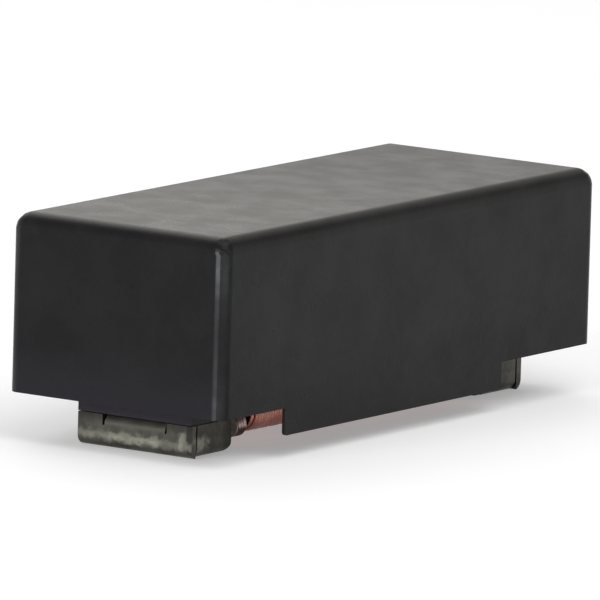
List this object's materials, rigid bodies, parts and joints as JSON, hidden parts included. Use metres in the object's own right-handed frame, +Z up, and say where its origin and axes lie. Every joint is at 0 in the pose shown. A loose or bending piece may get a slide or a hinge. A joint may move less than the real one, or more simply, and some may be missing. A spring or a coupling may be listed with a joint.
{
  "type": "rfid transponder coil",
  "caption": "Low-frequency transponder coil for surface mounting: copper winding on a ferrite bar in a moulded bobbin, folded tinned end terminals and a black protective cap.",
  "frame": {"origin": "on the solder plane, under the middle of the cap", "axes": "+X along the coil towards the finish terminal, +Y across it, +Z up from the board"},
  "size_m": [0.0082, 0.0032, 0.0028],
  "materials": {
    "cap_plastic": "fine moulded matte black",
    "bobbin_plastic": "moulded matte black",
    "ferrite": "sintered dark grey",
    "copper_wire": "enamelled copper",
    "tinned_sheet": "dull tin plate",
    "solder": "satin solder",
    "adhesive": "cured amber resin"
  },
  "bodies": {
    "root": {"cap": "cap_plastic", "bobbin": "bobbin_plastic", "core": "ferrite", "winding": "copper_wire", "start_terminal": "tinned_sheet", "finish_terminal": "tinned_sheet", "start_lead": "copper_wire", "finish_lead": "copper_wire", "start_solder": "solder", "finish_solder": "solder", "start_cap_adhesive": "adhesive", "finish_cap_adhesive": "adhesive", "start_core_adhesive": "adhesive", "finish_core_adhesive": "adhesive"}
  },
  "joints": []
}
